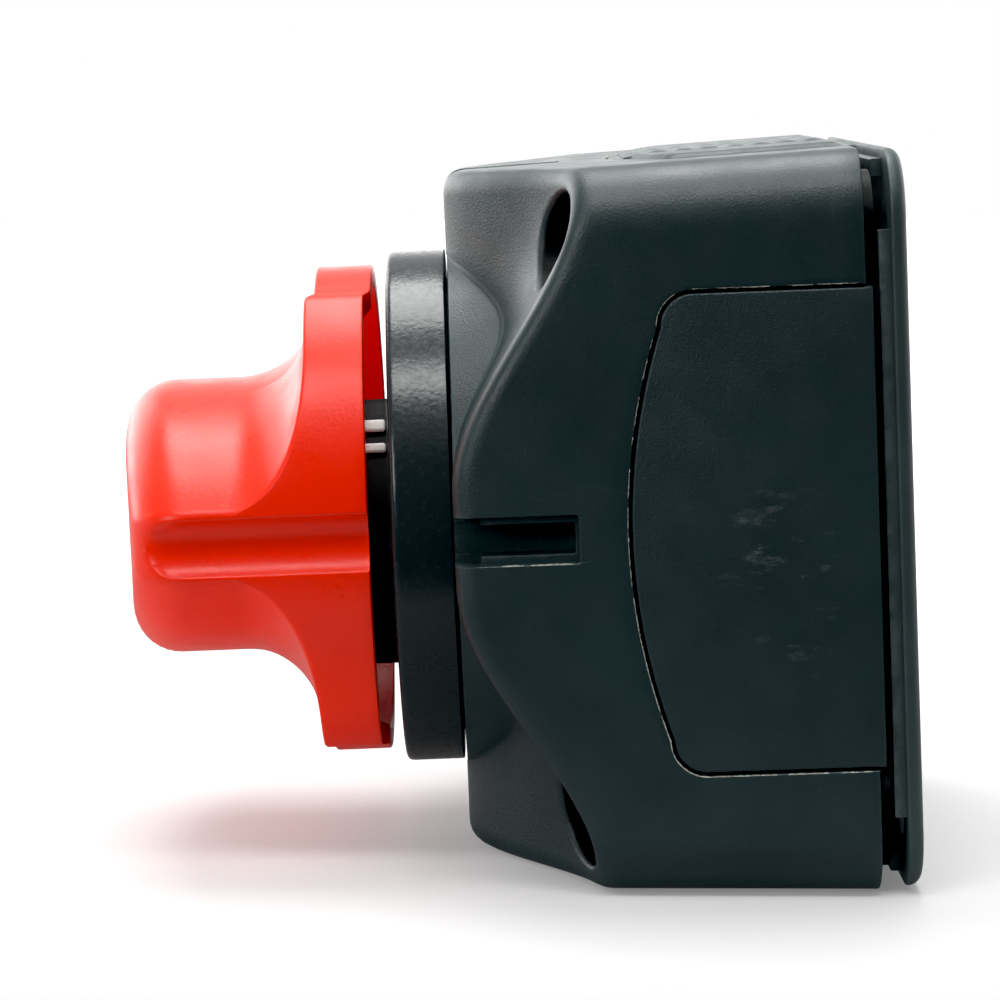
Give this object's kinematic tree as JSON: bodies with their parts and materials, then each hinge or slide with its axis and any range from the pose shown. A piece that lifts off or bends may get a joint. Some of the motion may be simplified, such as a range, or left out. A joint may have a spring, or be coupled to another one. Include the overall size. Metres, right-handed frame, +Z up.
{
  "type": "battery isolator switch",
  "caption": "Panel or surface mounted rotary battery isolator with a square black housing and a red knob that turns a quarter turn to close a copper bridge on heavy terminal studs.",
  "frame": {"origin": "centre of the rear mounting face", "axes": "Y along the knob's axis with the knob toward -Y and the mounting face toward +Y; +Z up, as the switch lies on one side; the knob's pointer faces +X at rest (off)"},
  "size_m": [0.069, 0.0743, 0.0695],
  "materials": {
    "moulded_black": "fine grained",
    "gloss_black": "glossy",
    "knob_red": "satin gloss",
    "pale_mark": "satin",
    "insulator": "moulded",
    "rubber": "matte",
    "zinc_steel": "zinc plated",
    "tinned_brass": "tinned",
    "copper": "bare copper",
    "silver": "silver contact alloy"
  },
  "bodies": {
    "base": {"housing": "moulded_black", "side_panel_right": "moulded_black", "side_panel_bottom": "moulded_black", "side_panel_left": "moulded_black", "side_panel_top": "moulded_black", "rear_cover": "moulded_black", "front_bezel": "gloss_black", "bezel_gasket": "rubber", "index_mark_upper": "pale_mark", "index_mark_lower": "pale_mark", "detent_ball": "zinc_steel", "detent_spring": "zinc_steel", "contact_block": "insulator", "terminal_stud_right": "tinned_brass", "terminal_stud_left": "tinned_brass", "flat_washer_right": "zinc_steel", "flat_washer_left": "zinc_steel", "spring_washer_right": "zinc_steel", "spring_washer_left": "zinc_steel", "stud_nut_right": "zinc_steel", "stud_nut_left": "zinc_steel", "base_screw_1": "zinc_steel", "base_screw_2": "zinc_steel", "base_screw_3": "zinc_steel", "base_screw_4": "zinc_steel", "return_spring": "zinc_steel"},
    "knob_assembly": {"knob": "knob_red", "drive_shaft": "zinc_steel", "shaft_seal": "rubber", "retaining_clip": "zinc_steel", "cam_rotor": "insulator", "rotor_screw": "zinc_steel"},
    "bridge_assembly": {"bridge_carrier": "insulator", "contact_bridge": "copper", "bridge_rivet_1": "copper", "bridge_rivet_2": "copper", "contact_tip_1": "silver", "contact_tip_2": "silver"}
  },
  "joints": [
    {"name": "knob_turn", "type": "hinge", "parent": "base", "child": "knob_assembly", "pos_m": [0, 0, 0], "axis": [0, 1, 0], "range_deg": [0, 90]},
    {"name": "bridge_slide", "type": "slide", "parent": "base", "child": "bridge_assembly", "axis": [0, 1, 0], "range_m": [0, 0.003]}
  ],
  "couplings": [
    {"joint": "bridge_slide", "follows": "knob_turn", "m_per_rad": 0.0019099}
  ]
}
